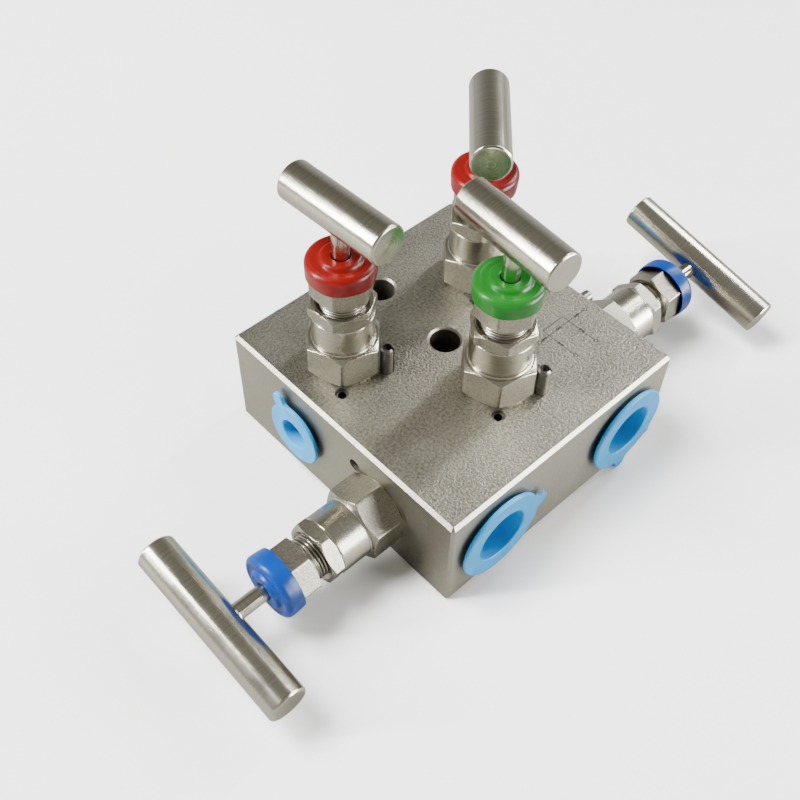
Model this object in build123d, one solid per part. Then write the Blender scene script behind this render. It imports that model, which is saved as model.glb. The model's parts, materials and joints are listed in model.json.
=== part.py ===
from build123d import *
import math
import os
from dataclasses import dataclass

# Five-valve instrument manifold for a differential-pressure transmitter.
# Millimetres.  The origin is the centre of the block's underside, +Z is up.
# The process ports open towards -Y, the instrument ports towards +Y.
# The high-pressure side is -X and the low-pressure side is +X.

# ---- block ----
BLOCK_X = 90.0
BLOCK_Y = 92.0
BLOCK_Z = 36.0
EDGE_CHAMFER = 1.0
CORNER_CHAMFER = 0.8

# ---- ports and their moulded caps ----
PORT_SPACING = 54.0
MAIN_PORT_R = 9.9
MAIN_PORT_DEPTH = 18.0
VENT_PORT_R = 6.3
VENT_PORT_DEPTH = 11.0
NPT_TAPER = 1.0 / 32.0
PORT_CHAMFER = 0.9
MAIN_FLANGE_R = 14.3
VENT_FLANGE_R = 10.2
FLANGE_THICKNESS = 1.3
FLANGE_STAND_OFF = 1.2
CAP_WALL = 1.3
PLUG_DEPTH = 9.0
TAB_LENGTH = 3.6
TAB_WIDTH = 4.2
MAIN_TAB_ANGLES = {"process": {"high": 10.0, "low": 270.0}, "instrument": {"high": 250.0, "low": 285.0}}
VENT_TAB_ANGLE = 120.0
CAP_CLEARANCE = 0.06

# ---- mounting holes ----
MOUNT_HOLE_R = 4.55
MOUNT_HOLE_Y = 3.0
MOUNT_SPACING = 28.3
MOUNT_CHAMFER = 0.6

# ---- where the valves stand ----
VENT_VALVE_Y = 17.0
VALVE_ROW_Y = -18.0

# ---- bores of one valve in the block, depths from the block's face ----
BONNET_BORE_R = 8.0
BONNET_BORE_DEPTH = 9.5
CHAMBER_R = 4.0
SEAT_DEPTH = 14.5
ORIFICE_R = 2.0
PASSAGE_R = 2.0
LINE_R = 2.5
VENT_PASSAGE_R = 1.5
CROSS_PASSAGE_R = 1.75

# ---- bonnet, heights from the block's face ----
BONNET_AF = 20.0
BONNET_HEX_TOP = 10.9
BONNET_FOOT = 0.5
BONNET_BARREL_R = 9.0
BONNET_TOP = 20.5
SEAL_THICKNESS = 0.8
SEAL_WIDTH = 2.2
NEEDLE_POCKET_TOP = -1.5
PACKING_BORE_R = 5.7
PACKING_LOW = 3.5
PACKING_HEIGHT = 8.0
THRUST_RING_HEIGHT = 2.5

# ---- lock nut, gland screw and dust cap ----
LOCK_NUT_AF = 17.3
LOCK_NUT_HEIGHT = 4.2
LOCK_NUT_COUNTERSINK = 1.1
GLAND_THREAD_R = 6.58
GLAND_AF = 16.0
GLAND_HEAD_LOW = 28.2
GLAND_HEAD_HEIGHT = 10.2
DUST_CAP_R = 9.8
DUST_CAP_SKIRT = 3.7
DUST_CAP_PLATE = 1.9
DUST_CAP_RIM = 0.9
DUST_CAP_BOSS_R = 5.5
DUST_CAP_BOSS = 0.9
HEX_SLOPE = 30.0
HEX_HALF_ANGLE = 30.0

# ---- spindle, needle and T-handle ----
STEM_R = 2.5
SCREW_R = 4.0
SCREW_LENGTH = 9.0
SCREW_GAP = 1.0
SCREW_PITCH = 1.0
OPEN_TURNS = 4.0
NEEDLE_R = 3.25
NEEDLE_BODY = 6.3
NEEDLE_TIP_R = 0.5
NEEDLE_HALF_ANGLE = 30.0
SWIVEL_R = 1.6
SWIVEL_LENGTH = 4.2
HANDLE_R = 5.75
HANDLE_CENTRE = 55.5
HANDLE_SINK = 1.5
HANDLE_CHAMFER = 0.5
SHORT_HANDLE = 35.0
LONG_HANDLE = 56.0

# ---- slotted lock pins beside each bonnet ----
PIN_R = 2.0
PIN_WALL = 0.75
PIN_SLOT = 0.9
PIN_LENGTH = 16.0
PIN_NOSE = 0.5
PIN_RING_R = 12.9
PIN_HALF_ANGLE = 37.0
PIN_STAND = 9.7
PIN_SUNK = 0.8

# ---- clearances, all radial unless named otherwise ----
THREAD_CLEARANCE = 0.06
RUNNING_CLEARANCE = 0.05
SEAT_CLEARANCE = 0.05
END_CLEARANCE = 0.05
FIT_CLEARANCE = 0.03
CAP_HOLE_CLEARANCE = 0.25
CUT_MARGIN = 1.0

PORT_X = PORT_SPACING / 2
PORT_Z = BLOCK_Z / 2
NEEDLE_LIFT = OPEN_TURNS * SCREW_PITCH
THRUST_RING_LOW = PACKING_LOW + PACKING_HEIGHT
GLAND_LOW = THRUST_RING_LOW + THRUST_RING_HEIGHT
GLAND_TOP = GLAND_HEAD_LOW + GLAND_HEAD_HEIGHT
CAP_LOW = GLAND_TOP - DUST_CAP_SKIRT
CAP_TOP = GLAND_TOP + DUST_CAP_PLATE
SCREW_LOW = GLAND_LOW + SCREW_GAP


@dataclass
class Valve:
    """One needle valve: its place on the block and how its loose-turned pieces stand."""
    name: str
    face: Plane
    handle_length: float
    handle_turn: float
    pin_turn: float
    lock_nut_turn: float
    gland_turn: float

    def place(self, piece):
        return self.face.location * piece

    def hex_turn(self):
        return self.pin_turn - PIN_HALF_ANGLE


def top_face(x, y):
    return Plane(origin=(x, y, BLOCK_Z), x_dir=(1, 0, 0), z_dir=(0, 0, 1))


def side_face(side, y):
    return Plane(origin=(side * BLOCK_X / 2, y, PORT_Z), x_dir=(0, side, 0), z_dir=(side, 0, 0))


def end_face(side, x):
    return Plane(origin=(x, side * BLOCK_Y / 2, PORT_Z), x_dir=(-side, 0, 0), z_dir=(0, side, 0))


VALVES = [
    Valve("high_vent", top_face(-PORT_X, VENT_VALVE_Y), SHORT_HANDLE, 92.0, 263.0, 34.0, 34.0),
    Valve("low_vent", top_face(PORT_X, VENT_VALVE_Y), SHORT_HANDLE, 45.0, 263.0, 44.0, 36.0),
    Valve("equalizer", top_face(0.0, VALVE_ROW_Y), SHORT_HANDLE, 85.0, 263.0, 50.0, 29.0),
    Valve("high_block", side_face(-1, VALVE_ROW_Y), LONG_HANDLE, -5.6, 180.0, 9.0, 2.0),
    Valve("low_block", side_face(1, VALVE_ROW_Y), LONG_HANDLE, 12.2, 0.0, 20.0, 26.0),
]


# ---- simple round and hexagonal forms about the local Z axis ----

def disc(radius, low, high):
    return Pos(0, 0, low) * Cylinder(radius, high - low, align=(Align.CENTER, Align.CENTER, Align.MIN))


def cone(low_radius, high_radius, low, high):
    return Pos(0, 0, low) * Cone(low_radius, high_radius, high - low, align=(Align.CENTER, Align.CENTER, Align.MIN))


def ring(outer, inner, low, high):
    return disc(outer, low, high) - disc(inner, low - CUT_MARGIN, high + CUT_MARGIN)


def hexagon_corner(across_flats):
    """How far a hexagon's corners are from its axis."""
    return across_flats / 2 / math.cos(math.radians(HEX_HALF_ANGLE))


def hexagon(across_flats, low, high, turn, low_turned=True, high_turned=True):
    """A hexagonal prism whose corners are turned off at HEX_SLOPE at the chosen ends."""
    corner = hexagon_corner(across_flats)
    flat = across_flats / 2
    drop = (corner - flat) * math.tan(math.radians(HEX_SLOPE))
    prism = Rot(0, 0, turn) * extrude(RegularPolygon(corner, 6), high - low)
    envelope = disc(corner, low + drop * low_turned, high - drop * high_turned)
    if low_turned:
        envelope += cone(flat, corner, low, low + drop)
    if high_turned:
        envelope += cone(corner, flat, high - drop, high)
    return (Pos(0, 0, low) * prism) & envelope


def bar(start, end, radius):
    """A round drilling from one point to another."""
    start = Vector(*start)
    run = Vector(*end) - start
    return Plane(origin=start, z_dir=run).location * disc(radius, 0, run.length)


# ---- block ----

def npt_bore(radius, depth):
    """A tapered pipe port, measured down from the face, with its mouth chamfer."""
    bore = cone(radius - depth * NPT_TAPER, radius, -depth, 0)
    lead = cone(radius, radius + PORT_CHAMFER, -PORT_CHAMFER, 0)
    return bore + lead


def valve_bore():
    """Bonnet bore, needle chamber and seat orifice of one valve."""
    bonnet = disc(BONNET_BORE_R, -BONNET_BORE_DEPTH, 0)
    chamber = disc(CHAMBER_R, -SEAT_DEPTH, -BONNET_BORE_DEPTH)
    orifice = disc(ORIFICE_R, -PORT_Z, -SEAT_DEPTH)
    return bonnet + chamber + orifice


def lock_pin_places(valve):
    sunk = (valve.pin_turn - PIN_HALF_ANGLE, -PIN_SUNK)
    standing = (valve.pin_turn + PIN_HALF_ANGLE, PIN_STAND)
    return [sunk, standing]


def lock_pin_hole(turn, top):
    hole = disc(PIN_R + FIT_CLEARANCE, min(top, 0) - PIN_LENGTH + max(top, 0), 0)
    return Rot(0, 0, turn) * Pos(PIN_RING_R, 0, 0) * hole


def side_circuit(side):
    """The drillings that join one side's ports, block valve and vent valve."""
    chamber_x = side * (BLOCK_X / 2 - (SEAT_DEPTH + BONNET_BORE_DEPTH) / 2)
    port_end = BLOCK_Y / 2 - MAIN_PORT_DEPTH
    line_x = side * PORT_X
    vent_end = side * (BLOCK_X / 2 - VENT_PORT_DEPTH - CUT_MARGIN)
    seat_x = side * (BLOCK_X / 2 - SEAT_DEPTH)
    vent_z = BLOCK_Z - SEAT_DEPTH + VENT_PASSAGE_R
    feed = bar((chamber_x, -port_end, PORT_Z), (chamber_x, VALVE_ROW_Y, PORT_Z), PASSAGE_R)
    line = bar((line_x, VALVE_ROW_Y, PORT_Z), (line_x, port_end, PORT_Z), LINE_R)
    seat = bar((line_x, VALVE_ROW_Y, PORT_Z), (seat_x, VALVE_ROW_Y, PORT_Z), ORIFICE_R)
    vent = bar((line_x, VENT_VALVE_Y, vent_z), (vent_end, VENT_VALVE_Y, vent_z), VENT_PASSAGE_R)
    return [feed, line, seat, vent]


def equalizer_circuit():
    """One drilling comes in under the equalizer's seat, the other into its chamber."""
    chamber_z = BLOCK_Z - (SEAT_DEPTH + BONNET_BORE_DEPTH) / 2
    under_seat = bar((-PORT_X, VALVE_ROW_Y, PORT_Z), (0, VALVE_ROW_Y, PORT_Z), CROSS_PASSAGE_R)
    over_seat = bar((PORT_X, VALVE_ROW_Y, PORT_Z), (0, VALVE_ROW_Y, chamber_z), CROSS_PASSAGE_R)
    return [under_seat, over_seat]


def mount_hole_places():
    return [MOUNT_HOLE_Y, MOUNT_HOLE_Y + MOUNT_SPACING]


def mount_hole():
    """A through hole, plain where the bracket seats and broken only at the top face."""
    hole = disc(MOUNT_HOLE_R, -CUT_MARGIN, BLOCK_Z + CUT_MARGIN)
    rim = MOUNT_HOLE_R + MOUNT_CHAMFER
    return hole + cone(MOUNT_HOLE_R, rim, BLOCK_Z - MOUNT_CHAMFER, BLOCK_Z)


def manifold_block():
    body = Box(BLOCK_X, BLOCK_Y, BLOCK_Z, align=(Align.CENTER, Align.CENTER, Align.MIN))
    body = chamfer(body.edges().filter_by(Axis.Z), CORNER_CHAMFER)
    rims = body.faces().sort_by(Axis.Z)[-1].edges() + body.faces().sort_by(Axis.Z)[0].edges()
    body = chamfer(rims, EDGE_CHAMFER)
    cuts = []
    for side in (-1, 1):
        for end in (-1, 1):
            cuts.append(end_face(end, side * PORT_X).location * npt_bore(MAIN_PORT_R, MAIN_PORT_DEPTH))
        cuts.append(side_face(side, VENT_VALVE_Y).location * npt_bore(VENT_PORT_R, VENT_PORT_DEPTH))
        cuts += side_circuit(side)
    cuts += equalizer_circuit()
    for valve in VALVES:
        cuts.append(valve.place(valve_bore()))
        for turn, top in lock_pin_places(valve):
            cuts.append(valve.place(lock_pin_hole(turn, top)))
    for y in mount_hole_places():
        cuts.append(Pos(0, y, 0) * mount_hole())
    for cut in cuts:
        body -= cut
    return body


# ---- moulded port caps ----

def port_cap(port_radius, flange_radius, tab_turn):
    """A hollow tapered plug with a round flange that stands off the face, and a pull tab."""
    flange_low = FLANGE_STAND_OFF
    flange_high = flange_low + FLANGE_THICKNESS
    outer = port_radius - CAP_CLEARANCE
    tip = outer - PLUG_DEPTH * NPT_TAPER
    plug = cone(tip, outer, -PLUG_DEPTH, 0) + disc(outer, 0, flange_high)
    floor = -PLUG_DEPTH + CAP_WALL
    cup = cone(tip - CAP_WALL, outer - CAP_WALL, floor, flange_high)
    flange = disc(flange_radius, flange_low, flange_high)
    reach = flange_radius + TAB_LENGTH - TAB_WIDTH / 2
    tab_bar = Pos(reach / 2, 0, (flange_low + flange_high) / 2) * Box(reach, TAB_WIDTH, FLANGE_THICKNESS)
    tab_end = Pos(reach, 0, 0) * disc(TAB_WIDTH / 2, flange_low, flange_high)
    tab = Rot(0, 0, tab_turn) * (tab_bar + tab_end)
    return plug + flange + tab - cup


# ---- pieces of one valve ----

def bonnet(valve):
    """Hexagon foot, plain barrel and the threaded shank that screws into the block."""
    shank_low = SEAL_THICKNESS - BONNET_BORE_DEPTH
    foot = disc(BONNET_AF / 2, 0, BONNET_FOOT)
    hex_part = hexagon(BONNET_AF, BONNET_FOOT, BONNET_HEX_TOP, valve.hex_turn(), low_turned=False)
    barrel = disc(BONNET_BARREL_R, BONNET_HEX_TOP, BONNET_TOP)
    shank = disc(BONNET_BORE_R - THREAD_CLEARANCE, shank_low, 0)
    solid = foot + hex_part + barrel + shank
    pocket = disc(NEEDLE_R + 2 * RUNNING_CLEARANCE, shank_low - CUT_MARGIN, NEEDLE_POCKET_TOP)
    stem_hole = disc(STEM_R + RUNNING_CLEARANCE, NEEDLE_POCKET_TOP, PACKING_LOW)
    packing_bore = disc(PACKING_BORE_R, PACKING_LOW, GLAND_LOW)
    thread_bore = disc(GLAND_THREAD_R + THREAD_CLEARANCE, GLAND_LOW, BONNET_TOP + CUT_MARGIN)
    return solid - (pocket + stem_hole + packing_bore + thread_bore)


def bonnet_seal():
    inner = BONNET_BORE_R - THREAD_CLEARANCE - SEAL_WIDTH
    return ring(BONNET_BORE_R - THREAD_CLEARANCE, inner, -BONNET_BORE_DEPTH, SEAL_THICKNESS - BONNET_BORE_DEPTH)


def packing():
    inner = STEM_R + RUNNING_CLEARANCE
    return ring(PACKING_BORE_R - FIT_CLEARANCE, inner, PACKING_LOW, THRUST_RING_LOW)


def thrust_ring():
    inner = STEM_R + RUNNING_CLEARANCE
    return ring(PACKING_BORE_R - FIT_CLEARANCE, inner, THRUST_RING_LOW, GLAND_LOW)


def lock_nut(valve):
    top = BONNET_TOP + LOCK_NUT_HEIGHT
    bore = GLAND_THREAD_R + THREAD_CLEARANCE
    nut = hexagon(LOCK_NUT_AF, BONNET_TOP, top, valve.lock_nut_turn)
    sink = cone(bore, bore + LOCK_NUT_COUNTERSINK, top - LOCK_NUT_COUNTERSINK, top)
    return nut - disc(bore, BONNET_TOP - CUT_MARGIN, top + CUT_MARGIN) - sink


def gland_screw(valve):
    """Hollow screw: it squeezes the packing and carries the spindle's thread."""
    screw_top = SCREW_LOW + SCREW_LENGTH + NEEDLE_LIFT + SCREW_GAP
    shank = disc(GLAND_THREAD_R, GLAND_LOW, GLAND_HEAD_LOW)
    head = hexagon(GLAND_AF, GLAND_HEAD_LOW, GLAND_TOP, valve.gland_turn)
    nut_thread = disc(SCREW_R + RUNNING_CLEARANCE, GLAND_LOW - CUT_MARGIN, screw_top)
    stem_hole = disc(STEM_R + RUNNING_CLEARANCE, screw_top, GLAND_TOP + CUT_MARGIN)
    return shank + head - nut_thread - stem_hole


def dust_cap():
    """Moulded cap: thin skirt round the hexagon, rounded rim and a raised centre boss."""
    body = disc(DUST_CAP_R, CAP_LOW, CAP_TOP)
    body = fillet(body.edges().sort_by(Axis.Z)[-1], DUST_CAP_RIM)
    boss = disc(DUST_CAP_BOSS_R, CAP_TOP, CAP_TOP + DUST_CAP_BOSS)
    inside = disc(hexagon_corner(GLAND_AF) + CAP_CLEARANCE, CAP_LOW - CUT_MARGIN, GLAND_TOP)
    hole = disc(STEM_R + CAP_HOLE_CLEARANCE, GLAND_TOP, CAP_TOP + DUST_CAP_BOSS + CUT_MARGIN)
    return body + boss - inside - hole


def needle():
    """Needle that slides without turning; its cone sits on the rim of the orifice."""
    slope = math.tan(math.radians(NEEDLE_HALF_ANGLE))
    tip = -SEAT_DEPTH - (ORIFICE_R - SEAT_CLEARANCE - NEEDLE_TIP_R) / slope
    shoulder = -SEAT_DEPTH + (NEEDLE_R - ORIFICE_R + SEAT_CLEARANCE) / slope
    solid = cone(NEEDLE_TIP_R, NEEDLE_R, tip, shoulder) + disc(NEEDLE_R, shoulder, needle_top())
    socket_low = needle_top() - SWIVEL_LENGTH - END_CLEARANCE
    return solid - disc(SWIVEL_R + RUNNING_CLEARANCE, socket_low, needle_top() + CUT_MARGIN)


def needle_top():
    slope = math.tan(math.radians(NEEDLE_HALF_ANGLE))
    return -SEAT_DEPTH + (NEEDLE_R - ORIFICE_R + SEAT_CLEARANCE) / slope + NEEDLE_BODY


def spindle():
    """Swivel pin, plain stem through the packing, screw, and stem up into the handle."""
    stem_low = needle_top() + END_CLEARANCE
    screw_high = SCREW_LOW + SCREW_LENGTH
    swivel = disc(SWIVEL_R, stem_low - SWIVEL_LENGTH, stem_low)
    lower = disc(STEM_R, stem_low, SCREW_LOW)
    screw = disc(SCREW_R, SCREW_LOW, screw_high)
    upper = disc(STEM_R, screw_high, HANDLE_CENTRE + HANDLE_SINK)
    return swivel + lower + screw + upper


def handle(valve):
    """Plain round cross bar with chamfered ends, drilled from one side for the spindle."""
    length = valve.handle_length
    cross_bar = Rot(0, 90, 0) * Cylinder(HANDLE_R, length)
    cross_bar = chamfer(cross_bar.edges().filter_by(GeomType.CIRCLE), HANDLE_CHAMFER)
    socket = disc(STEM_R + FIT_CLEARANCE, -HANDLE_R - CUT_MARGIN, HANDLE_SINK)
    return Pos(0, 0, HANDLE_CENTRE) * Rot(0, 0, valve.handle_turn) * (cross_bar - socket)


def lock_pin(turn, top):
    """Slotted spring pin with tapered noses, its slot facing the bonnet's far side."""
    low = top - PIN_LENGTH
    pin = disc(PIN_R, low + PIN_NOSE, top - PIN_NOSE)
    pin += cone(PIN_R - PIN_NOSE, PIN_R, low, low + PIN_NOSE) + cone(PIN_R, PIN_R - PIN_NOSE, top - PIN_NOSE, top)
    pin -= disc(PIN_R - PIN_WALL, low - CUT_MARGIN, top + CUT_MARGIN)
    slot = Pos(PIN_R, 0, (low + top) / 2) * Box(2 * PIN_R, PIN_SLOT, PIN_LENGTH + 2 * CUT_MARGIN)
    return Rot(0, 0, turn) * Pos(PIN_RING_R, 0, 0) * (pin - slot)


def lock_pins():
    pins = []
    for valve in VALVES:
        for turn, top in lock_pin_places(valve):
            pins.append(valve.place(lock_pin(turn, top)))
    return Compound(children=pins)


def bonnet_seals():
    return Compound(children=[valve.place(bonnet_seal()) for valve in VALVES])


def valve_pieces(valve):
    return {
        "bonnet": bonnet(valve),
        "lock_nut": lock_nut(valve),
        "gland_screw": gland_screw(valve),
        "packing": packing(),
        "thrust_ring": thrust_ring(),
        "dust_cap": dust_cap(),
        "needle": needle(),
        "spindle": spindle(),
        "handle": handle(valve),
    }


def port_caps():
    caps = {}
    for side, word in ((-1, "high"), (1, "low")):
        for end, use in ((-1, "process"), (1, "instrument")):
            cap = port_cap(MAIN_PORT_R, MAIN_FLANGE_R, MAIN_TAB_ANGLES[use][word])
            caps[f"{use}_cap_{word}"] = end_face(end, side * PORT_X).location * cap
        vent_cap = port_cap(VENT_PORT_R, VENT_FLANGE_R, VENT_TAB_ANGLE)
        caps[f"vent_cap_{word}"] = side_face(side, VENT_VALVE_Y).location * vent_cap
    return caps


def build():
    os.makedirs("parts", exist_ok=True)
    nodes = {"manifold_block": manifold_block(), "lock_pins": lock_pins(), "bonnet_seals": bonnet_seals()}
    nodes.update(port_caps())
    for valve in VALVES:
        for piece_name, piece in valve_pieces(valve).items():
            nodes[f"{valve.name}_{piece_name}"] = valve.place(piece)
    for node_name, node in nodes.items():
        export_step(node, f"parts/{node_name}.step")
    print(len(nodes), "nodes written")


build()
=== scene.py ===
# %% [markdown]
# # A five-valve instrument manifold
# The real object is a machined steel block with five needle valves screwed into it. Each valve is a bonnet,
# a lock nut, a gland screw, a coloured dust cap and a T-handle on a spindle. Six ports are closed by soft
# blue pull-out plugs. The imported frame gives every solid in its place, in metres, with Z up and the block's
# underside on the floor. This lesson dresses those solids: hexagons with worn corners, a real screw thread,
# moulded caps, and metal that shows how each face was cut.

# %% Load the frame
import json
import bpy
import bmesh
import numpy as np
from mathutils import Matrix, Vector


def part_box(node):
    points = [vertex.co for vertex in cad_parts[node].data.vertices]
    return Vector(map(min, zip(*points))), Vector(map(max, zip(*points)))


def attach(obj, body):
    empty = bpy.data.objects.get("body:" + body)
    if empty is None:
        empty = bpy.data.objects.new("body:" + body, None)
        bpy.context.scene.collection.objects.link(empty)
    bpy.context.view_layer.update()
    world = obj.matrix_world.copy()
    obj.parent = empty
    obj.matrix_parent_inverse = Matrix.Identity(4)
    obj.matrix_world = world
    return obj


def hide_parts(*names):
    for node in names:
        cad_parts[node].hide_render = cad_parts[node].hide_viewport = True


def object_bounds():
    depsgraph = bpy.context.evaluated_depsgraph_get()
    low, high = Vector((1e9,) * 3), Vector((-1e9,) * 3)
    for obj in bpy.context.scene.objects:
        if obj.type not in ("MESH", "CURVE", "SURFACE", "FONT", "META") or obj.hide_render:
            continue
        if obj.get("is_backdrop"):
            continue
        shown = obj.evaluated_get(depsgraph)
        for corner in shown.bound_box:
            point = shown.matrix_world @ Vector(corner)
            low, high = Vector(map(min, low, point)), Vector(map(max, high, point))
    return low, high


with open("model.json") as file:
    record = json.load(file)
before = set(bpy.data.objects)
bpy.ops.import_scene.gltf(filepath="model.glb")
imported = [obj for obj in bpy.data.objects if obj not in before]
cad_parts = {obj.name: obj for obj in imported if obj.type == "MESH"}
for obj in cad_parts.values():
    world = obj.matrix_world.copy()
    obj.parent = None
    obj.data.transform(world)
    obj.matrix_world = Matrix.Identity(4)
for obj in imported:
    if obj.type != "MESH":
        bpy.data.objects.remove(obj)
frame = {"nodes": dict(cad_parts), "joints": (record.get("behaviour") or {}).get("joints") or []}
cad_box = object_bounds()
print("size in mm:", [round(1000 * side, 1) for side in cad_box[1] - cad_box[0]])

# %% [markdown]
# ## Camera, light and floor
# The manifold stands on a pale sheet and is seen from above its front left corner. The camera could be
# turned by hand, but aiming it at a point and then adding a small roll says plainly what it does. Polished
# steel shows its surroundings more than its own colour, so the lights matter as much as the material: two
# long strips, one on the left and one at the back, draw a pair of highlights along every bar, and what lies
# between them stays dim, which is what makes the metal look like metal. The white ceiling lights the sheet
# and the plastics but isn't mirrored, because its own reflection would fill that dim part. A low white card
# in front does the opposite: it is only mirrored, which brightens the ground face that looks at it. Two
# small windows lift the shadows on the right and in front.

# %% Camera
MM = 0.001
CAMERA_AT = Vector((-158.45, -141.81, 270.13)) * MM
AIM = Vector((-22.04, -1.44, 30.0)) * MM
ROLL = np.radians(1.617)


def looking(place, target, roll=0.0):
    """A frame at place whose -Z axis points at target, with X level before the roll about that line."""
    forward = (target - place).normalized()
    level = forward.cross(Vector((0, 0, 1))).normalized()
    above = level.cross(forward)
    right = level * np.cos(roll) + above * np.sin(roll)
    up = right.cross(forward)
    turn = Matrix((right, up, -forward)).transposed()
    return Matrix.Translation(place) @ turn.to_4x4()


camera = bpy.data.objects.new("camera", bpy.data.cameras.new("camera"))
camera.data.lens = 48.51
camera.data.sensor_width = 36.0
camera.data.clip_start = 0.01
camera.matrix_world = looking(CAMERA_AT, AIM, ROLL)
bpy.context.scene.collection.objects.link(camera)
bpy.context.scene.camera = camera
print("camera is", round(1000 * (CAMERA_AT - AIM).length), "mm from the point it aims at")


# %% Lights
def softbox(name, place, target, size, power, tint=(1.0, 1.0, 1.0)):
    """A rectangular area light at place, facing target."""
    lamp = bpy.data.objects.new(name, bpy.data.lights.new(name, "AREA"))
    lamp.data.shape = "RECTANGLE"
    lamp.data.size, lamp.data.size_y = size
    lamp.data.energy = power
    lamp.data.color = tint
    lamp.matrix_world = looking(Vector(place), Vector(target))
    bpy.context.scene.collection.objects.link(lamp)
    return lamp


MIDDLE = (0, 0, 0.03)
softbox("left_strip", (-0.99, 0.63, 0.76), MIDDLE, (0.10, 0.95), 32, (1.0, 0.99, 0.97))
softbox("back_strip", (1.15, 0.05, 0.95), MIDDLE, (0.12, 0.8), 11)
softbox("right_window", (1.10, -0.30, 0.75), MIDDLE, (0.07, 0.8), 8, (0.97, 0.98, 1.0))
softbox("front_window", (0.60, -1.05, 0.60), MIDDLE, (0.5, 0.3), 12, (1.0, 0.985, 0.96))
ceiling = softbox("white_ceiling", (-0.50, 0.50, 1.40), (0, 0, 0.02), (0.6, 0.6), 66)
ceiling.visible_glossy = False
card = softbox("white_card", (0.45, -0.62, 0.14), (0.02, -0.046, 0.018), (0.6, 0.22), 12)
card.visible_diffuse = False

world = bpy.data.worlds.new("studio")
bpy.context.scene.world = world
world.use_nodes = True
sky = world.node_tree
sky_light = sky.nodes["Background"]
direction = sky.nodes.new("ShaderNodeTexCoord")
height = sky.nodes.new("ShaderNodeSeparateXYZ")
shade = sky.nodes.new("ShaderNodeValToRGB")
sky.links.new(direction.outputs["Generated"], height.inputs[0])
sky.links.new(height.outputs["Z"], shade.inputs[0])
sky.links.new(shade.outputs["Color"], sky_light.inputs["Color"])
shade.color_ramp.elements[0].position = 0.0
shade.color_ramp.elements[0].color = (0.90, 0.90, 0.90, 1)
shade.color_ramp.elements[1].position = 1.0
shade.color_ramp.elements[1].color = (0.42, 0.41, 0.37, 1)
dim_band = shade.color_ramp.elements.new(0.65)
dim_band.color = (0.24, 0.23, 0.19, 1)
sky_light.inputs["Strength"].default_value = 0.75
print("lights:", len(bpy.data.lights), "and a soft grey sky")

# %% [markdown]
# ## Where each valve stands
# Each spindle turns about its own joint, so the joint's point and direction say where the valve stands and
# which way it faces. The nuts and handles were each tightened to a different angle, which is what makes the
# five valves look like five real ones and not five copies. Angles are degrees about the valve's axis, and
# bar is the handle's length in millimetres.

# %% Valve places and turns
VALVES = {
    "high_vent": dict(handle=92.0, bonnet=226.0, lock_nut=34.0, gland=34.0, bar=35.0, cap="red"),
    "low_vent": dict(handle=45.0, bonnet=226.0, lock_nut=44.0, gland=36.0, bar=35.0, cap="red"),
    "equalizer": dict(handle=85.0, bonnet=226.0, lock_nut=50.0, gland=29.0, bar=35.0, cap="green"),
    "high_block": dict(handle=-5.6, bonnet=143.0, lock_nut=9.0, gland=2.0, bar=56.0, cap="blue"),
    "low_block": dict(handle=12.2, bonnet=-37.0, lock_nut=20.0, gland=26.0, bar=56.0, cap="blue"),
}


def valve_place(name):
    """Foot on the block's face and three directions: across, up and out along the spindle."""
    joint = next(j for j in frame["joints"] if j["name"] == name + "_turn")
    foot = np.array(joint["pos_m"], float)
    out = np.array(joint["axis"], float)
    across = np.array((1.0, 0, 0)) if out[2] > 0.5 else np.array((0, out[0], 0))
    return foot, across, np.cross(out, across), out


for name in VALVES:
    foot, _, _, out = valve_place(name)
    print(name, "stands at", np.round(foot / MM, 1), "mm and faces", out)

# %% [markdown]
# ## Turned pieces as a grid
# Nearly everything here was made on a lathe or is a hexagon with its ends turned off. Both are one surface
# of two numbers: the angle round the axis and the station along the profile. A lathe would need only a
# profile, and Blender's Screw modifier could spin it, but a radius that also depends on the angle gives the
# hexagons, the worn corners and the threads with the same few lines.

# %% Angles and hexagons
FLAT_STEPS = np.array((-30, -29.2, -28.2, -25, -20, -15, -10, -5, 0, 5, 10, 15, 20, 25, 28.2, 29.2))
TURNED_OFF = np.radians(30.0)
WORN_CORNER = 0.11
INSIDE_FLATS = 0.05


def around(turn=0.0):
    """Angles once round: six flats of sixteen steps, closer near the corners. turn is one corner's angle."""
    return np.radians((turn + 30 + 60 * np.arange(6)[:, None] + FLAT_STEPS).ravel())


def hexagon_radius(angle, across_flats, turn):
    """Half the width across flats over the cosine of the angle from the flat's middle.

    Each corner is worn off a little short of its full radius.
    """
    from_middle = np.radians((np.degrees(angle) - turn) % 60 - 30)
    return np.minimum(across_flats / 2 / np.cos(from_middle), across_flats / np.sqrt(3) - WORN_CORNER)


def hexagon_rows(angle, across_flats, low, high, turn):
    """Profile rows up a hexagon with both ends turned off.

    Each end falls away by (radius - half the flats) times the tangent of 30 degrees.
    """
    side = hexagon_radius(angle, across_flats, turn)
    flat = across_flats / 2 - INSIDE_FLATS
    drop = (side - flat) * np.tan(TURNED_OFF)
    return [(flat, low), (side, low + drop), (side, high - drop), (flat, high)]


sample = hexagon_radius(around(), 20.0, 0.0)
print("a 20 mm hexagon runs from", round(sample.min(), 2), "to", round(sample.max(), 2), "mm from its axis")


# %% Softened profiles
def profile(angle, rows):
    """Rows of (radius, height) in millimetres as an array of rows by angles by 2."""
    pairs = [np.stack(np.broadcast_arrays(radius, height, angle)[:2], axis=-1) for radius, height in rows]
    return np.stack(pairs).astype(float)


CORNER_STEPS = 4
LONGEST_CUT = 0.4
GUARD = 1.2


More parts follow.
